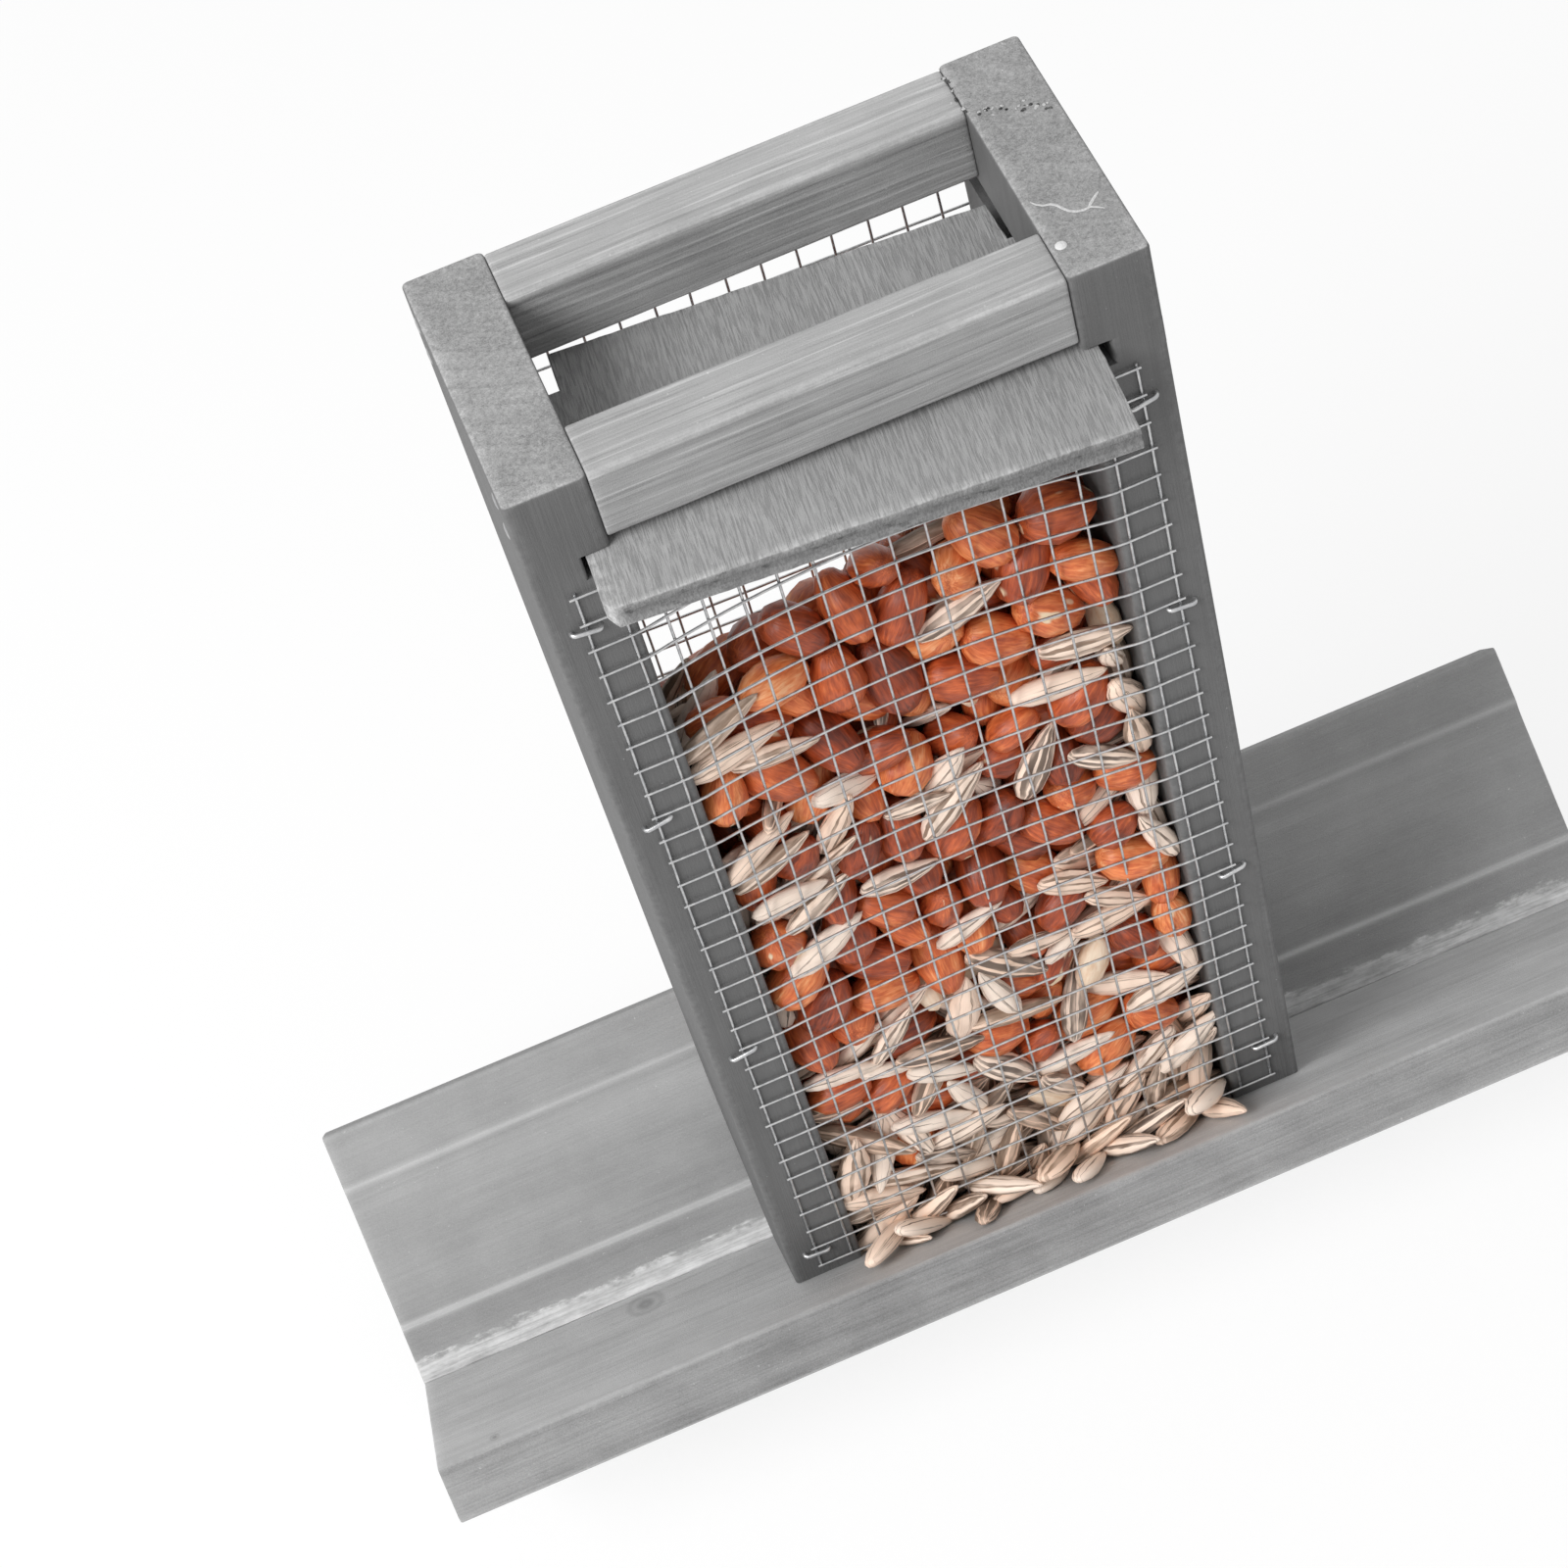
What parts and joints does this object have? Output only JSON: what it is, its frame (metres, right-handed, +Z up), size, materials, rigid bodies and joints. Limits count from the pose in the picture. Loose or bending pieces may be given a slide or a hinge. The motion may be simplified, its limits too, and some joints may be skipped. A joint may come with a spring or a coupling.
{
  "type": "bird feeder silo with trough",
  "caption": "Wooden bird feeder silo with stapled welded wire mesh front and rear and a sliding plywood lid, standing in a V trough of mitred boards.",
  "frame": {"origin": "middle of the trough's keel, its lowest line, which sits in whatever holds the feeder", "axes": "+Z up along the silo, +X along the trough, -Y towards the side that the lid is pulled out of"},
  "size_m": [0.26, 0.0972, 0.2697],
  "materials": {
    "side_board_wood": "grey stained pine, matt",
    "rail_wood": "grey stained pine, matt, open grain",
    "lid_plywood": "grey stained plywood, matt",
    "trough_wood": "grey stained pine, matt",
    "mesh_wire": "galvanised wire",
    "staple_wire": "galvanised staple wire",
    "fastener_steel": "zinc plated",
    "feed": "peanuts in their skins and striped sunflower seeds"
  },
  "bodies": {
    "feeder": {"left_side_board": "side_board_wood", "right_side_board": "side_board_wood", "front_top_rail": "rail_wood", "rear_top_rail": "rail_wood", "front_mesh": "mesh_wire", "rear_mesh": "mesh_wire", "front_mesh_staples": "staple_wire", "rear_mesh_staples": "staple_wire", "front_trough_board": "trough_wood", "rear_trough_board": "trough_wood", "left_rail_brads": "fastener_steel", "right_rail_brads": "fastener_steel", "front_foot_screws": "fastener_steel", "rear_foot_screws": "fastener_steel", "valley_brads": "fastener_steel", "seed_fill": "feed"},
    "lid": {"sliding_lid": "lid_plywood"}
  },
  "joints": [
    {"name": "lid_slide", "type": "slide", "parent": "feeder", "child": "lid", "axis": [0, -1, 0], "range_m": [-0.014, 0.03]}
  ]
}
